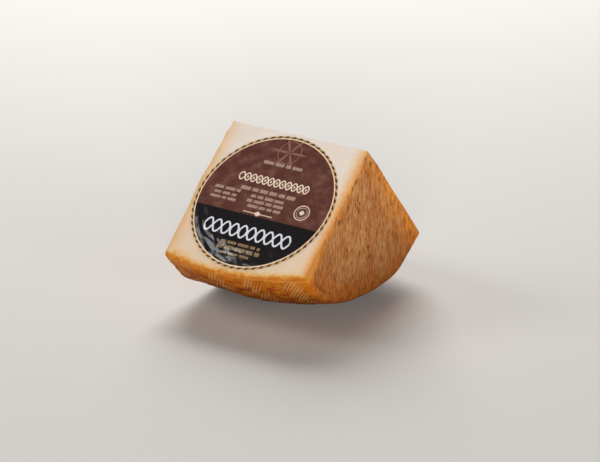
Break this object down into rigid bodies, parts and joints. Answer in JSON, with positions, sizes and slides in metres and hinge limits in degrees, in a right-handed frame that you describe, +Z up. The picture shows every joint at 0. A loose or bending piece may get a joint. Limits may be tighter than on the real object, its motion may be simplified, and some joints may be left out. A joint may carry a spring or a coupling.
{
  "type": "smoked sheep cheese wedge",
  "caption": "Quarter of a small wheel of smoked sheep cheese, lying on its basket-printed rind with the wheel's axis on top, and a thin round label stuck on the cut face.",
  "frame": {"origin": "on the surface the cheese lies on, under the middle of the piece", "axes": "+X along the wheel's axis towards the streaked flat face, +Y away from the cut face that carries the label, +Z up"},
  "size_m": [0.0894, 0.1218, 0.0853],
  "materials": {
    "cheese": "satin: pale cream paste on the two cut faces, orange to brown smoked rind on the rest",
    "label_paper": "glossy coated paper, brown above and near black below, with a tan rope border"
  },
  "bodies": {
    "root": {"cheese_wedge": "cheese", "label": "label_paper"}
  },
  "joints": []
}
